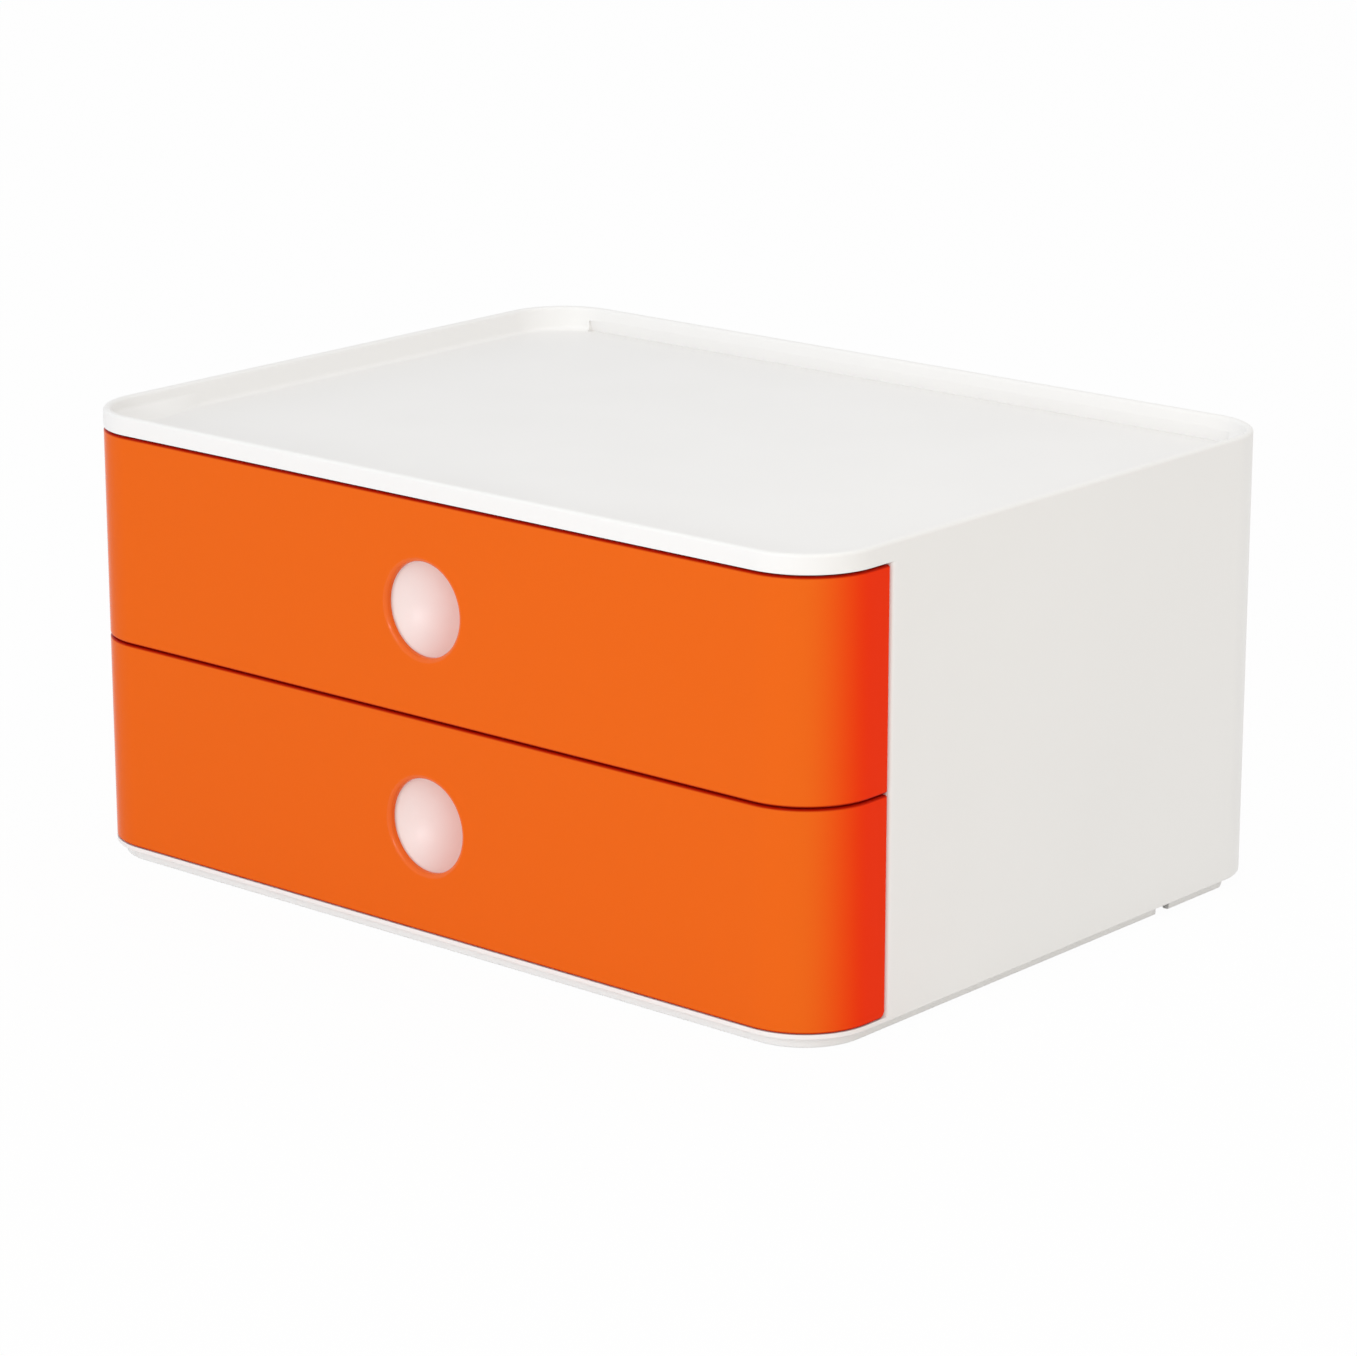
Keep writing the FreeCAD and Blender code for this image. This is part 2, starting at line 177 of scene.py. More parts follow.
def rounded_ring(half_x, low, high, radii, side_levels=()):
    """Points round a rectangle with rounded corners, counter-clockwise from the right end of its low side.

    Each comes with its way out, as (x, y, out_x, out_y). Extra points on the two sides lie at side_levels.
    """
    centres = (
        (half_x - radii[0], low + radii[0], radii[0], -90),
        (half_x - radii[1], high - radii[1], radii[1], 0),
        (radii[2] - half_x, high - radii[2], radii[2], 90),
        (radii[3] - half_x, low + radii[3], radii[3], 180),
    )
    stations = []
    for index, (x, y, radius, start) in enumerate(centres):
        for step in range(corner_steps + 1):
            angle = math.radians(start + 90 * step / corner_steps)
            out_x, out_y = math.cos(angle), math.sin(angle)
            stations.append((x + radius * out_x, y + radius * out_y, out_x, out_y))
        if index == 0:
            stations += [(half_x, level, 1, 0) for level in sorted(side_levels)]
        if index == 2:
            stations += [(-half_x, level, -1, 0) for level in sorted(side_levels, reverse=True)]
    return stations


def section(corners):
    """Open line of (inset, level) points through corners (inset, level, radius), which it rounds."""
    points = [Vector(corners[0][:2])]
    for before, here, after in zip(corners, corners[1:], corners[2:]):
        middle = Vector(here[:2])
        to_before = (Vector(before[:2]) - middle).normalized()
        to_after = (Vector(after[:2]) - middle).normalized()
        half_angle = to_before.angle(to_after) / 2
        radius = here[2]
        centre = middle + (to_before + to_after).normalized() * (radius / math.sin(half_angle))
        start = middle + to_before * (radius / math.tan(half_angle)) - centre
        turn = math.pi - 2 * half_angle
        side = 1 if to_before.cross(to_after) < 0 else -1
        steps = small_round_steps if radius > 0 else 0
        for step in range(steps + 1):
            swing = Matrix.Rotation(side * turn * step / max(steps, 1), 2)
            points.append(centre + swing @ start)
    points.append(Vector(corners[-1][:2]))
    return [tuple(point) for point in points]


def bridge(name, loops, closed=False):
    """Solid whose skin joins equal loops one to the next, capped at both ends or closed on itself."""
    mesh = bmesh.new()
    rings = [[mesh.verts.new(point) for point in loop] for loop in loops]
    pairs = list(zip(rings, rings[1:])) + ([(rings[-1], rings[0])] if closed else [])
    for lower, upper in pairs:
        for index in range(len(lower)):
            mesh.faces.new((lower[index - 1], lower[index], upper[index], upper[index - 1]))
    if not closed:
        mesh.faces.new(rings[0])
        mesh.faces.new(rings[-1])
    return solid_from(mesh, name)


def solid_from(mesh, name):
    """Object made of a mesh, with points in one place welded and all faces looking outwards."""
    bmesh.ops.remove_doubles(mesh, verts=mesh.verts, dist=weld_distance)
    bmesh.ops.dissolve_degenerate(mesh, edges=mesh.edges, dist=weld_distance)
    bmesh.ops.recalc_face_normals(mesh, faces=mesh.faces)
    data = bpy.data.meshes.new(name)
    mesh.to_mesh(data)
    mesh.free()
    made = bpy.data.objects.new(name, data)
    bpy.context.scene.collection.objects.link(made)
    return made


def stack(name, stations, rows, rear_rows=None, share_at=None):
    """Solid of one outline drawn in by each row's inset at its level.

    Towards the rear, each row turns into its partner in rear_rows, by the share that share_at has for a y.
    """
    loops = []
    for index, row in enumerate(rows):
        loop = []
        for x, y, out_x, out_y in stations:
            inset, level = Vector(row).lerp(Vector(rear_rows[index]), share_at(y)) if rear_rows else row
            loop.append((x - out_x * inset, y - out_y * inset, level))
        loops.append(loop)
    return bridge(name, loops)


def moulding(name, stations, rows, closed=True):
    """Solid of one closed section run along the outline."""
    loops = [[(x - out_x * inset, y - out_y * inset, level) for inset, level in rows]
             for x, y, out_x, out_y in stations]
    return bridge(name, loops, closed)


def prism(name, outline, low, high):
    """Upright solid over an outline."""
    return bridge(name, [[(x, y, level) for x, y in outline] for level in (low, high)])


def block(name, x_range, y_range, z_range):
    """Straight block between three pairs of coordinates."""
    (low_x, high_x), (low_y, high_y) = x_range, y_range
    outline = [(low_x, low_y), (high_x, low_y), (high_x, high_y), (low_x, high_y)]
    return prism(name, outline, *z_range)


def side_prism(name, profile, x_range):
    """Prism along X over a side view of (y, z)."""
    return bridge(name, [[(x, y, z) for y, z in profile] for x in x_range])


def turned(name, rows, level):
    """Solid turned about a line along Y at one height, from rows of (radius, y)."""
    turns = [2 * math.pi * step / hole_steps for step in range(hole_steps)]
    loops = [[(radius * math.cos(turn), y, level + radius * math.sin(turn)) for turn in turns]
             for radius, y in rows]
    return bridge(name, loops)


def combine(body, tools, operation):
    """Adds the tools to a body or takes them out of it, and removes the tools."""
    for tool in tools:
        change = body.modifiers.new(tool.name, "BOOLEAN")
        change.operation = operation
        change.solver = "EXACT"
        change.object = tool
    bpy.context.view_layer.update()
    joined = body.evaluated_get(bpy.context.evaluated_depsgraph_get())
    data = bpy.data.meshes.new_from_object(joined)
    body.modifiers.clear()
    old = body.data
    body.data = data
    bpy.data.meshes.remove(old)
    for tool in tools:
        bpy.data.meshes.remove(tool.data)
    return body


def finish_skin(piece, material):
    """Clean mesh in one material, with flat faces flat, rounds smooth and real edges sharp."""
    mesh = bmesh.new()
    mesh.from_mesh(piece.data)
    bmesh.ops.remove_doubles(mesh, verts=mesh.verts, dist=weld_distance)
    bmesh.ops.dissolve_degenerate(mesh, edges=mesh.edges, dist=weld_distance)
    bmesh.ops.recalc_face_normals(mesh, faces=mesh.faces)
    mesh.to_mesh(piece.data)
    mesh.free()
    piece.data.materials.clear()
    piece.data.materials.append(material)
    piece.data.shade_smooth()
    piece.data.set_sharp_from_angle(angle=crease_angle)
    even = piece.modifiers.new("even_normals", "WEIGHTED_NORMAL")
    even.keep_sharp = True
    return piece


def paint(piece, material, covers):
    """Gives a second material to the faces whose corners all lie where it covers."""
    piece.data.materials.append(material)
    corners = piece.data.vertices
    for face in piece.data.polygons:
        if all(covers(corners[index].co) for index in face.vertices):
            face.material_index = len(piece.data.materials) - 1


def both_hands(make):
    """The right-hand copy of a small part and its mirror image."""
    return [make(side) for side in (1, -1)]


# Pieces

def runout(y):
    """Share of the way from the tray's leaning wall behind the fronts to its upright one further back."""
    share = min(max((y - wall_front_y) / recess_runout, 0), 1)
    return share * share * (3 - 2 * share)


def housing_block():
    """Block with the housing's outside, its rim and the tray sunk into its top."""
    runout_levels = [wall_front_y + recess_runout * step / runout_steps for step in range(runout_steps + 1)]
    stations = rounded_ring(half_width, front_y, rear_y, housing_corners, runout_levels)

    def rows(wall_foot):
        return section([
            (flange_width, wall_bottom, 0),
            (0, wall_bottom, foot_edge_round),
            (0, top_z, rim_round),
            (wall, top_z, rim_round),
            (wall, top_z - rim_straight, lean_round),
            (wall_foot, recess_floor, floor_round),
            (flange_width, recess_floor, 0),
        ])
    return stack("housing_moulding", stations, rows(wall + recess_inset + lean_foot), rows(wall), runout)


def housing_inside():
    """Space inside the walls, open at the bottom inside the flange."""
    stations = rounded_ring(half_width, front_y, rear_y, housing_corners)
    rows = [
        (flange_width, wall_bottom - overrun),
        (flange_width, lip_top),
        (wall, lip_top),
        (wall, top_underside),
    ]
    return stack("inside", stations, rows)


def front_window():
    """Opening that the drawer fronts fill, between the lip and the rim."""
    outside = -overrun
    stations = rounded_ring(half_width, front_y, rear_y, housing_corners, (wall_front_y,))
    around_front = [station for station in stations if station[1] < wall_front_y + weld_distance]
    right_half = [station for station in around_front if station[0] > 0]
    left_half = [station for station in around_front if station[0] < 0]
    rows = [
        (outside, lip_top),
        (wall + recess_inset, lip_top),
        (wall + recess_inset, top_underside),
        (recess_inset, top_underside),
        (recess_inset, rim_bottom),
        (outside, rim_bottom),
    ]
    return moulding("window", left_half + right_half, rows, closed=False)


def wall_end_shavers():
    """Tools that round the walls' outer front edges."""
    def shaver(side):
        round_x = half_width - wall_end_round
        outline = [(round_x, wall_front_y - overrun), (round_x, wall_front_y)]
        for step in range(1, small_round_steps + 1):
            angle = math.radians(90 * step / small_round_steps)
            outline.append((round_x + wall_end_round * math.sin(angle),
                            wall_front_y + wall_end_round * (1 - math.cos(angle))))
        outline.append((half_width + overrun, wall_front_y + wall_end_round))
        outline.append((half_width + overrun, wall_front_y - overrun))
        return prism("wall_end", [(side * x, y) for x, y in outline], lip_top, rim_bottom)
    return both_hands(shaver)


def foot_ring():
    """Ring below the flange, open at the rear, with a notch near the end of each side."""
    stations = rounded_ring(half_width, front_y, rear_y, housing_corners)
    middle = (wall_bottom + lip_top) / 2
    rows = section([
        (ring_inset + ring_wall / 2, middle, 0),
        (ring_inset, middle, 0),
        (ring_inset, ring_bottom, ring_round),
        (ring_inset + ring_wall, ring_bottom, ring_round),
        (ring_inset + ring_wall, middle, 0),
        (ring_inset + ring_wall / 2, middle, 0),
    ])[:-1]
    ring = moulding("foot_ring", stations, rows)
    notch_middle = rear_y - ring_notch_setback
    notch_y = (notch_middle - ring_notch_length / 2, notch_middle + ring_notch_length / 2)
    notch = block("notch", (-half_width, half_width), notch_y, (ring_bottom - overrun, wall_bottom))
    end_y = rear_y - ring_rear_setback
    behind_end = side_prism("ring_end", [
        (end_y, wall_bottom),
        (end_y - ring_end_slope, ring_bottom),
        (end_y - ring_end_slope, ring_bottom - overrun),
        (rear_y, ring_bottom - overrun),
        (rear_y, lip_top),
        (end_y, lip_top),
    ], (-half_width, half_width))
    return combine(ring, [notch, behind_end], "DIFFERENCE")


def shelf_ledge():
    """Ledge round the inside of the walls, under the shelf between the drawers."""
    start_y = wall_front_y + ledge_setback
    stations = rounded_ring(half_width, front_y, rear_y, housing_corners, (start_y,))
    right = [station for station in stations if station[1] > start_y - weld_distance and station[0] > 0]
    left = [station for station in stations if station[1] > start_y - weld_distance and station[0] < 0]
    ledge_top = shelf_top - glide_height - shelf_thickness
    rows = [
        (wall / 2, ledge_top - ledge_thickness),
        (wall + ledge_reach, ledge_top - ledge_thickness),
        (wall + ledge_reach, ledge_top),
        (wall / 2, ledge_top),
    ]
    return moulding("ledge", right + left, rows, closed=False)


def drawer_stops(lift):
    """Ramped stops inside the walls, one pair for each drawer."""
    low = lower_tray_low.z + lift + stop_level
    near_y = wall_front_y + stop_setback
    far_y = near_y + stop_length
    root = inner_x + wall / 2
    tip = inner_x - stop_reach
    outline = [(root, near_y), (inner_x, near_y), (tip, near_y + stop_ramp), (tip, far_y), (root, far_y)]
    return both_hands(lambda side: prism(
        "stop", [(side * x, y) for x, y in outline], low, low + stop_height))


def tilt_guides():
    """Two ribs under the top that keep the upper drawer from tipping."""
    middle = drawer_half_width - drawer_wall / 2
    y_range = (panel_back_y + drawer_corner_radius, drawer_rear_y - drawer_corner_radius)
    z_range = (upper_tray_high.z + guide_clearance, top_underside + top_thickness / 2)
    return both_hands(lambda side: block(
        "guide", (side * middle - guide_width / 2, side * middle + guide_width / 2), y_range, z_range))


def wall_lugs(plate_top):
    """Small lugs on the side walls that a plate snaps in under."""
    first_y = wall_front_y + lug_margin
    last_y = rear_y - corner_radius - lug_margin - lug_length
    lugs = []
    for start_y in (first_y, (first_y + last_y) / 2, last_y):
        lugs += both_hands(lambda side: block(
            "lug", (side * (inner_x - lug_reach), side * (inner_x + wall / 2)),
            (start_y, start_y + lug_length), (plate_top, plate_top + lug_height)))
    return lugs


def rear_groove():
    """Low groove along the foot of the sunk tray's rear wall, which runs out towards its top."""
    end_x = half_width - groove_end_inset
    wall_face = rear_y - wall
    return side_prism("groove", [
        (wall_face - floor_round, recess_floor),
        (wall_face + groove_depth, recess_floor),
        (wall_face, recess_floor + groove_height),
        (wall_face - floor_round, recess_floor + groove_height),
    ], (-end_x, end_x))


def make_housing(material):
    """The white housing moulding."""
    housing = housing_block()
    combine(housing, [housing_inside(), front_window(), *wall_end_shavers(), rear_groove()], "DIFFERENCE")
    added = [foot_ring(), shelf_ledge(), *tilt_guides()]
    for lift in (0, drawer_pitch):
        added += drawer_stops(lift)
        added += wall_lugs(lip_top + base_thickness + lift)
    combine(housing, added, "UNION")
    finish_skin(housing, material)
    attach(housing, "housing")
    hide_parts("housing_shell")


def bent_round(point):
    """Point of the flat front, as (along, level, depth), moved on to the box's plan outline."""
    along, depth, level = point
    flat = half_width - corner_radius
    arc_length = corner_radius * math.pi / 2
    side = 1 if along > 0 else -1
    reach = abs(along)
    if reach <= flat:
        return Vector((along, front_y + depth, level))
    centre_y = front_y + corner_radius
    if reach <= flat + arc_length:
        angle = (reach - flat) / corner_radius
        radius = corner_radius - depth
        return Vector((side * (flat + radius * math.sin(angle)),
                       centre_y - radius * math.cos(angle), level))
    return Vector((side * (half_width - depth), centre_y + reach - flat - arc_length, level))


def make_front(which, low, high, low_round, hole_level, tray_low, material, lip_material):
    """Glossy drawer front: a flat plate with rounded edges and a lipped hole, bent round both corners."""
    flat = half_width - corner_radius
    arc_length = corner_radius * math.pi / 2
    half_length = flat + arc_length + (wrap_end_y - front_y - corner_radius)
    radii = [low_round, front_corner_round, front_corner_round, low_round]
    stations = rounded_ring(half_length, low, high, radii)
    rows = section([
        (front_edge_round * 2, 0, 0),
        (0, 0, front_edge_round),
        (0, front_thickness, 0),
        (front_edge_round * 2, front_thickness, 0),
    ])
    loops = [[(x - out_x * inset, depth, z - out_z * inset) for x, z, out_x, out_z in stations]
             for inset, depth in rows[1:-1]]
    front = bridge(f"{which}_front_panel", loops)
    lip = section([
        (hole_radius + overrun, 0, 0),
        (hole_radius, 0, hole_lip_round),
        (hole_radius, front_thickness + overrun, 0),
    ])
    hole_rows = [(lip[1][0], -overrun)] + lip[1:]
    combine(front, [turned("hole", hole_rows, hole_level)], "DIFFERENCE")

    mesh = bmesh.new()
    mesh.from_mesh(front.data)
    for side in (1, -1):
        for step in range(corner_steps + 1):
            place = side * (flat + arc_length * step / corner_steps)
            everything = mesh.verts[:] + mesh.edges[:] + mesh.faces[:]
            bmesh.ops.bisect_plane(mesh, geom=everything, plane_co=(place, 0, 0), plane_no=(1, 0, 0))
    for vertex in mesh.verts:
        vertex.co = bent_round(vertex.co)
    mesh.to_mesh(front.data)
    mesh.free()

    combine(front, [make_hook(x, level) for x in hook_places() for level in hook_levels(tray_low)], "UNION")
    finish_skin(front, material)
    lip_reach = hole_radius + hole_lip_round + weld_distance
    paint(front, lip_material, lambda point: math.hypot(point.x, point.z - hole_level) < lip_reach)
    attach(front, f"{which}_drawer")
    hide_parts(f"{which}_drawer_front")


def hook_places():
    """Middles of the hooks across the front."""
    return (hook_inset - half_width, half_width - hook_inset)


def hook_levels(tray_low):
    """Heights of the undersides of the hooks that reach through one tray."""
    tray_height = lower_tray_high.z - lower_tray_low.z
    return (tray_low + hook_margin, tray_low + tray_height - hook_margin)


def make_hook(middle_x, level):
    """Snap hook on the back of a front, which reaches through the tray's wall."""
    root_y = panel_back_y - front_thickness / 2
    catch_y = panel_back_y + drawer_wall + hook_clearance
    return side_prism("hook", [
        (root_y, level),
        (catch_y, level),
        (catch_y, level - hook_catch),
        (catch_y + hook_nose, level),
        (catch_y + hook_nose, level + hook_thickness),
        (root_y, level + hook_thickness),
    ], (middle_x - hook_width / 2, middle_x + hook_width / 2))


def dish_rows(extra, start_y):
    """Rows of the dish's ball, made larger by an extra radius, from one place along Y to its far end."""
    radius = dish_ball_radius + extra
    start = math.acos(max(-1, min(1, (start_y - dish_ball_y) / radius)))
    steps = corner_steps * 2
    angles = [start * (1 - step / steps) for step in range(steps + 1)]
    return [(radius * math.sin(angle), dish_ball_y + radius * math.cos(angle)) for angle in angles]


def make_tray(which, low, high, hole_level, material, dish_painted_shade_material):
    """White drawer tray with the dish in its front wall, slots for the hooks and a catch on each side."""
    stations = rounded_ring(drawer_half_width, panel_back_y, drawer_rear_y, [drawer_corner_radius] * 4)
    floor = low + drawer_wall
    rows = section([
        (drawer_corner_radius / 2, low, 0),
        (0, low, drawer_foot_round),
        (0, high, drawer_edge_round),
        (drawer_wall, high, drawer_edge_round),
        (drawer_wall, floor, drawer_floor_round),
        (drawer_corner_radius / 2, floor, 0),
    ])
    tray = stack(f"{which}_tray", stations, rows)

    far_y = drawer_rear_y - catch_setback
    near_y = far_y - stop_length
    root = drawer_half_width - drawer_wall / 2
    tip = drawer_half_width + stop_reach
    outline = [(root, near_y), (tip, near_y), (tip, far_y - stop_ramp),
               (drawer_half_width, far_y), (root, far_y)]
    catch_low = low + stop_level
    catches = both_hands(lambda side: prism(
        "catch", [(side * x, y) for x, y in outline], catch_low, catch_low + stop_height))
    boss = turned("dish_boss", dish_rows(dish_wall, panel_back_y + drawer_wall / 2), hole_level)
    combine(tray, [boss, *catches], "UNION")

    mouth = turned("dish", dish_rows(0, panel_back_y - dish_overrun), hole_level)
    slots = []
    half_slot = hook_width / 2 + hook_clearance
    y_range = (panel_back_y - overrun, panel_back_y + 2 * drawer_wall)
    for middle_x in hook_places():
        for level in hook_levels(low):
            z_range = (level - hook_clearance, level + hook_thickness + hook_catch + hook_clearance)
            slots.append(block("slot", (middle_x - half_slot, middle_x + half_slot), y_range, z_range))
    combine(tray, [mouth, *slots], "DIFFERENCE")
    finish_skin(tray, material)
    # The dish's faces take the white with painted pink bounce light and painted shade
    ball_centre = Vector((0, dish_ball_y, hole_level))
    dish_reach = dish_ball_radius + weld_distance
    paint(tray, dish_painted_shade_material, lambda point: (point - ball_centre).length < dish_reach)
    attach(tray, f"{which}_drawer")
    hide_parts(f"{which}_drawer_tray")


# Materials

def linear(text):
    """Linear colour of an sRGB hex value."""
    channels = [channel / 255 for channel in bytes.fromhex(text[1:])]
    # The standard's curve: a straight start, then a power
    return [c / 12.92 if c <= 0.04045 else ((c + 0.055) / 1.055) ** 2.4 for c in channels] + [1.0]


def add_node(tree, kind, values=None, links=None, **settings):
    """Node of a kind with its settings, the values of its sockets and the links into them."""
    made = tree.nodes.new(kind)
    for name, value in settings.items():
        setattr(made, name, value)
    for socket, value in (values or {}).items():
        made.inputs[socket].default_value = value
    for socket, source in (links or {}).items():
        tree.links.new(source, made.inputs[socket])
    return made


def new_finish(name):
    """Empty material, its node tree and the place on the piece in metres."""
    material = bpy.data.materials.new(name)
    material.use_nodes = True
    material.node_tree.nodes.clear()
    place = add_node(material.node_tree, "ShaderNodeTexCoord").outputs["Object"]
    return material, material.node_tree, place


def end_finish(tree, shader):
    """Joins a shader to the material's output."""
    add_node(tree, "ShaderNodeOutputMaterial", links={"Surface": shader.outputs[0]})


# A colour mix has one socket name three times over, so these are the places of its colour sockets
mix_first, mix_second, mix_result = 6, 7, 2


def cloud(tree, place, patch, detail):
    """Soft noise whose patches are about as wide as a real length."""
    return add_node(tree, "ShaderNodeTexNoise", {"Scale": 1 / patch, "Detail": detail}, {"Vector": place})


def uneven(tree, noise, low, high):
    """Value that a noise moves between two limits."""
    limits = {"From Min": noise_low, "From Max": noise_high, "To Min": low, "To Max": high}
    return add_node(tree, "ShaderNodeMapRange", limits, {"Value": noise.outputs["Fac"]}).outputs["Result"]


def in_patches(tree, place):
    """Share that comes and goes in broad soft patches."""
    return cloud(tree, place, tone_patch, tone_detail).outputs["Fac"]


def painted_dish_shade(tree, place):
    """Share of the dish's painted shade, which grows from its left edge to its right."""
    across = add_node(tree, "ShaderNodeSeparateXYZ", links={"Vector": place}).outputs["X"]
    span = {"From Min": -dish_mouth_radius, "From Max": dish_mouth_radius / 2}
    return add_node(tree, "ShaderNodeMapRange", span, {"Value": across},
                    interpolation_type="SMOOTHSTEP").outputs["Result"]


def moulded_satin(name, colour, shade, roughness, grain, relief, shaded=in_patches):
    """Moulded plastic with a fine spark-eroded grain, which gives it soft broad highlights.

    Its colour turns into its shade by the share that shaded gives: random patches of tone, or in the dishes a
    painted shade.
    """
    material, tree, place = new_finish(name)
    tone = add_node(tree, "ShaderNodeMix", {mix_first: linear(colour), mix_second: linear(shade)},
                    {"Factor": shaded(tree, place)}, data_type="RGBA")
    relief_map = add_node(tree, "ShaderNodeBump", {"Strength": grain_strength, "Distance": relief},
                          {"Height": cloud(tree, place, grain, grain_detail).outputs["Fac"]})
    handling = cloud(tree, place, handling_patch, handling_detail)
    gloss = uneven(tree, handling, roughness - gloss_spread, roughness + gloss_spread)
    shader = add_node(tree, "ShaderNodeBsdfPrincipled",
                      {"IOR": abs_ior, "Specular IOR Level": satin_specular},
                      {"Base Color": tone.outputs[mix_result], "Roughness": gloss,
                       "Normal": relief_map.outputs[0]})
    end_finish(tree, shader)
    return material


def turn_round_corner(tree, place):
    """Angle by which the fronts' face has turned round the box's corner at a place, or 0 where it is flat."""
    parts = add_node(tree, "ShaderNodeSeparateXYZ", links={"Vector": place}).outputs
    across = add_node(tree, "ShaderNodeMath", links={0: parts["X"]}, operation="ABSOLUTE")
    beyond_flat = add_node(tree, "ShaderNodeMath", {1: corner_radius - half_width}, {0: across.outputs[0]})
    ahead = add_node(tree, "ShaderNodeMath", {0: front_y + corner_radius}, {1: parts["Y"]},
                     operation="SUBTRACT")
    sides = [add_node(tree, "ShaderNodeMath", {1: 0.0}, {0: distance.outputs[0]}, operation="MAXIMUM")
             for distance in (beyond_flat, ahead)]
    return add_node(tree, "ShaderNodeMath", links={0: sides[0].outputs[0], 1: sides[1].outputs[0]},
                    operation="ARCTAN2").outputs[0]


def moulded_gloss(name, face_colour, flank_painted_shade, gap_painted_shade, specular):
    """Moulded gloss plastic on a slightly rippled skin.

    Its colour carries painted shade: redder on the flanks round the corners, out of the main light, and deep
    red along the gaps.
    """
    material, tree, place = new_finish(name)
    # Painted shade: the face turns redder as it turns round the corner, away from the main light
    flank = add_node(tree, "ShaderNodeMapRange", {"From Min": flank_shade_start, "From Max": flank_shade_end},
                     {"Value": turn_round_corner(tree, place)}, interpolation_type="SMOOTHSTEP")
    # Painted shade: deep red in bands along the front's top and bottom edges, where the gaps are
    share_of_size = add_node(tree, "ShaderNodeTexCoord").outputs["Generated"]
    share_of_height = add_node(tree, "ShaderNodeSeparateXYZ", links={"Vector": share_of_size}).outputs["Z"]
    off_middle = add_node(tree, "ShaderNodeMath", {1: half_share}, {0: share_of_height}, operation="SUBTRACT")
    off_middle = add_node(tree, "ShaderNodeMath", links={0: off_middle.outputs[0]}, operation="ABSOLUTE")
    edge = add_node(tree, "ShaderNodeMapRange", {"From Min": gap_shade_start, "From Max": gap_shade_end},
                    {"Value": off_middle.outputs[0]}, interpolation_type="SMOOTHSTEP")
    tone = add_node(tree, "ShaderNodeMix",
                    {mix_first: linear(face_colour), mix_second: linear(flank_painted_shade)},
                    {"Factor": flank.outputs["Result"]}, data_type="RGBA")
    tone = add_node(tree, "ShaderNodeMix", {mix_second: linear(gap_painted_shade)},
                    {"Factor": edge.outputs["Result"], mix_first: tone.outputs[mix_result]},
                    data_type="RGBA")
    ripple = add_node(tree, "ShaderNodeBump", {"Strength": ripple_strength, "Distance": ripple_depth},
                      {"Height": cloud(tree, place, ripple_length, ripple_detail).outputs["Fac"]})
    handling = cloud(tree, place, handling_patch, handling_detail)
    gloss = uneven(tree, handling, orange_roughness - gloss_spread / 2, orange_roughness + gloss_spread / 2)
    shader = add_node(tree, "ShaderNodeBsdfPrincipled",
                      {"IOR": abs_ior, "Specular IOR Level": specular},
                      {"Base Color": tone.outputs[mix_result], "Roughness": gloss,
                       "Normal": ripple.outputs[0]})
    end_finish(tree, shader)
    return material


# Finish of each moulding. The grain and the ripple are drawn coarser than real ones, which would be too
# fine to show.
abs_ior = 1.53
satin_specular = 0.4
# Both are far under the 0.5 of real glossy ABS, because the fronts hardly reflect in the photograph
gloss_specular = 0.02
lip_specular = 0.2
housing_roughness = 0.42
tray_roughness = 0.36
rubber_roughness = 0.75
orange_roughness = 0.10
gloss_spread = 0.05
grain_strength = 0.35
grain_width = 0.8 * MM
grain_relief = 0.02 * MM
grain_detail = 3
tray_grain_width = 1.2 * MM
tray_grain_relief = 0.01 * MM
rubber_grain_relief = 0.04 * MM
tone_patch = 70.0 * MM
tone_detail = 2
handling_patch = 25.0 * MM
handling_detail = 4
ripple_strength = 0.2
ripple_length = 9.0 * MM
ripple_depth = 0.01 * MM
ripple_detail = 1
noise_low = 0.3
noise_high = 0.7
half_share = 0.5
# Where the painted shade on the flanks comes in, by the turn round the corner, and where the painted deep red
# shade along the gaps comes in, by the share of height off the middle
flank_shade_start = math.radians(35)
flank_shade_end = math.radians(90)
gap_shade_start = half_share - front_edge_round / front_height
gap_shade_end = half_share - front_edge_round / front_height / 4

# White ABS, moulded with a satin grain: the housing, its shelf and its floor
white_abs = moulded_satin("white_abs_satin_moulded", "#f4f3f2", "#f1f0ef", housing_roughness,
                          grain_width, grain_relief)
# White polystyrene, moulded a little smoother: the drawer trays
white_tray_plastic = moulded_satin("white_polystyrene_moulded", "#f4f2f0", "#f1efed", tray_roughness,
                                   tray_grain_width, tray_grain_relief)
# The same plastic in the trays' dishes, painted with a pink tinge of light bounced off the orange lip, and
# with painted shade that deepens towards the right
white_dish_painted_shade = moulded_satin("white_polystyrene_dish_painted_shade", "#f8efed", "#e6bab2", tray_roughness,
                                   tray_grain_width, tray_grain_relief, painted_dish_shade)
# Orange ABS, moulded against a polished steel face: the two drawer fronts
# The face's own orange, then a redder painted shade for the flanks round the corners and a deep red painted
# shade along the gaps
orange_and_painted_shades = ("#ea671a", "#f3360e", "#b01400")
orange_abs = moulded_gloss("orange_abs_gloss_painted_shade", *orange_and_painted_shades, gloss_specular)
# The same plastic on the lip round the finger hole, which reflects a little more
orange_lip = moulded_gloss("orange_abs_polished_lip_painted_shade", *orange_and_painted_shades, lip_specular)
# Grey thermoplastic rubber, moulded matt: the feet
grey_rubber = moulded_satin("grey_rubber_moulded", "#a09e9b", "#949290", rubber_roughness,
                            grain_width, rubber_grain_relief)


# Everything that shows

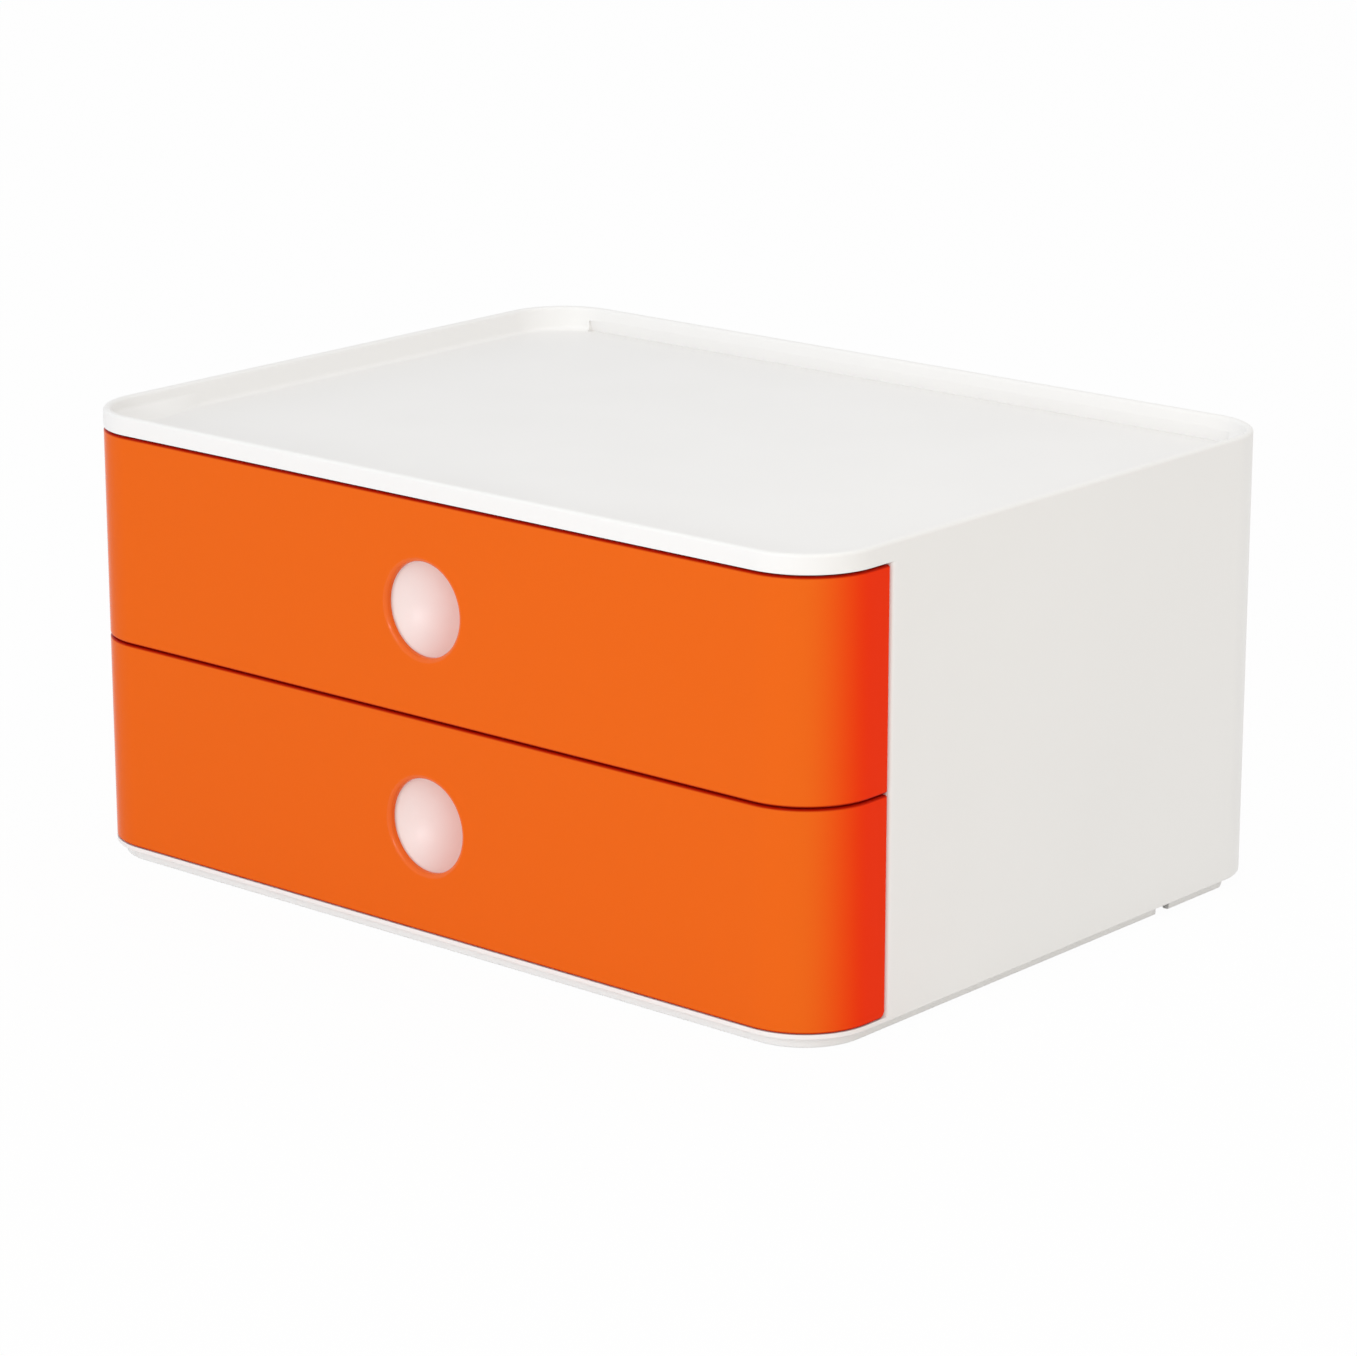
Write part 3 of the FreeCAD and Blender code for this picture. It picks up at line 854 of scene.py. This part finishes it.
make_housing(white_abs)
for which, front_range, tray_range, low_margin, low_round in (
        ("lower", (lower_front_low.z, lower_front_high.z), (lower_tray_low.z, lower_tray_high.z),
         lip_margin, low_corner_round),
        ("upper", (upper_front_low.z, upper_front_high.z), (upper_tray_low.z, upper_tray_high.z),
         front_margin, front_corner_round)):
    hole_level = sum(front_range) / 2
    make_front(which, front_range[0] - low_margin, front_range[1] + front_margin, low_round, hole_level,
               tray_range[0], orange_abs, orange_lip)
    make_tray(which, *tray_range, hole_level, white_tray_plastic, white_dish_painted_shade)

for node_name, node in frame["nodes"].items():
    node.data.materials.clear()
    node.data.materials.append(grey_rubber if node_name.startswith("foot_") else white_abs)


# Floor, light and camera

def seen_directly(tree):
    """1 for what the camera, a reflection or a clear piece shows, 0 for light that falls on surfaces."""
    path = add_node(tree, "ShaderNodeLightPath")
    mirror = add_node(tree, "ShaderNodeMath", operation="MAXIMUM", links={
        0: path.outputs["Is Glossy Ray"], 1: path.outputs["Is Transmission Ray"]})
    return add_node(tree, "ShaderNodeMath", operation="MAXIMUM", links={
        0: path.outputs["Is Camera Ray"], 1: mirror.outputs[0]}).outputs[0]


def make_floor():
    """Plain pale floor that shows white and keeps a faint shadow."""
    floor = block("floor", (-floor_reach, floor_reach), (-floor_reach, floor_reach), (-floor_thickness, 0))
    material = bpy.data.materials.new("pale_floor")
    material.use_nodes = True
    tree = material.node_tree
    tree.nodes.clear()
    matt = add_node(tree, "ShaderNodeBsdfDiffuse", {"Color": linear(floor_colour)})
    white = add_node(tree, "ShaderNodeEmission", {"Color": linear("#ffffff"), "Strength": 1.0})
    share = add_node(tree, "ShaderNodeMath", {1: floor_white_share}, {0: seen_directly(tree)},
                     operation="MULTIPLY")
    end_finish(tree, add_node(tree, "ShaderNodeMixShader", links={
        0: share.outputs[0], 1: matt.outputs[0], 2: white.outputs[0]}))
    floor.data.materials.append(material)


def make_world():
    """White surroundings that also light the box softly from all sides."""
    world = bpy.data.worlds.new("studio")
    bpy.context.scene.world = world
    world.use_nodes = True
    tree = world.node_tree
    tree.nodes.clear()
    soft = add_node(tree, "ShaderNodeBackground",
                    {"Color": linear(surround_colour), "Strength": surround_strength})
    white = add_node(tree, "ShaderNodeBackground", {"Color": linear("#ffffff"), "Strength": 1.0})
    mixed = add_node(tree, "ShaderNodeMixShader", links={
        0: seen_directly(tree), 1: soft.outputs[0], 2: white.outputs[0]})
    add_node(tree, "ShaderNodeOutputWorld", links={"Surface": mixed.outputs[0]})


def add_lamp(name, kind, place, power, colour):
    """Lamp at a place, turned towards the middle of the box."""
    lamp = bpy.data.lights.new(name, kind)
    lamp.energy = power
    lamp.color = linear(colour)[:3]
    holder = bpy.data.objects.new(name, lamp)
    holder.location = place
    holder.rotation_mode = "QUATERNION"
    holder.rotation_quaternion = (place - Vector((0, 0, top_z / 2))).to_track_quat("Z", "Y")
    bpy.context.scene.collection.objects.link(holder)
    return lamp


def make_lamps():
    """Low key light that leaves small glints, and soft boxes ahead of the box, to its right and above it."""
    add_lamp("key", "SUN", key_place, key_strength, "#ffffff").angle = key_softness
    for name, place, power, colour in softboxes:
        add_lamp(name, "AREA", place, power, colour).size = softbox_width


def make_camera():
    """Camera at the photograph's place and angle."""
    azimuth, elevation = math.radians(camera_azimuth), math.radians(camera_elevation)
    back = Vector((math.sin(azimuth) * math.cos(elevation), -math.cos(azimuth) * math.cos(elevation),
                   math.sin(elevation)))
    right = Vector((0, 0, 1)).cross(back).normalized()
    up = back.cross(right)
    lens = bpy.data.cameras.new("camera")
    lens.lens = camera_lens
    lens.sensor_width = camera_sensor
    lens.clip_start = camera_near
    camera = bpy.data.objects.new("camera", lens)
    camera.matrix_world = Matrix((right, up, back)).transposed().to_4x4()
    camera.location = camera_place
    bpy.context.scene.collection.objects.link(camera)
    bpy.context.scene.camera = camera


floor_reach = 3.0
floor_thickness = 10.0 * MM
floor_colour = "#ececec"
floor_white_share = 0.97
surround_colour = "#ffffff"
surround_strength = 0.755
key_place = Vector((0.2, -1.0, 0.3))
key_strength = 0.3
key_softness = math.radians(8)
softbox_width = 0.5
# Name, place, power in watts and colour of each soft box
softboxes = (
    ("front_softbox", Vector((0.1, -0.95, 0.35)), 1.8, "#f4fbff"),
    ("side_softbox", Vector((0.75, -0.25, 0.45)), 0.5, "#ffe9b4"),
    ("top_softbox", Vector((0.25, 0.05, 0.65)), 0.4, "#ffffff"),
)
camera_azimuth = 40.815
camera_elevation = 15.84
camera_place = Vector((799.367, -923.043, 398.784)) * MM
camera_lens = 123.80
camera_sensor = 36.0
camera_near = 0.05

make_floor()
make_world()
make_lamps()
make_camera()
bpy.context.scene.view_settings.view_transform = "Standard"
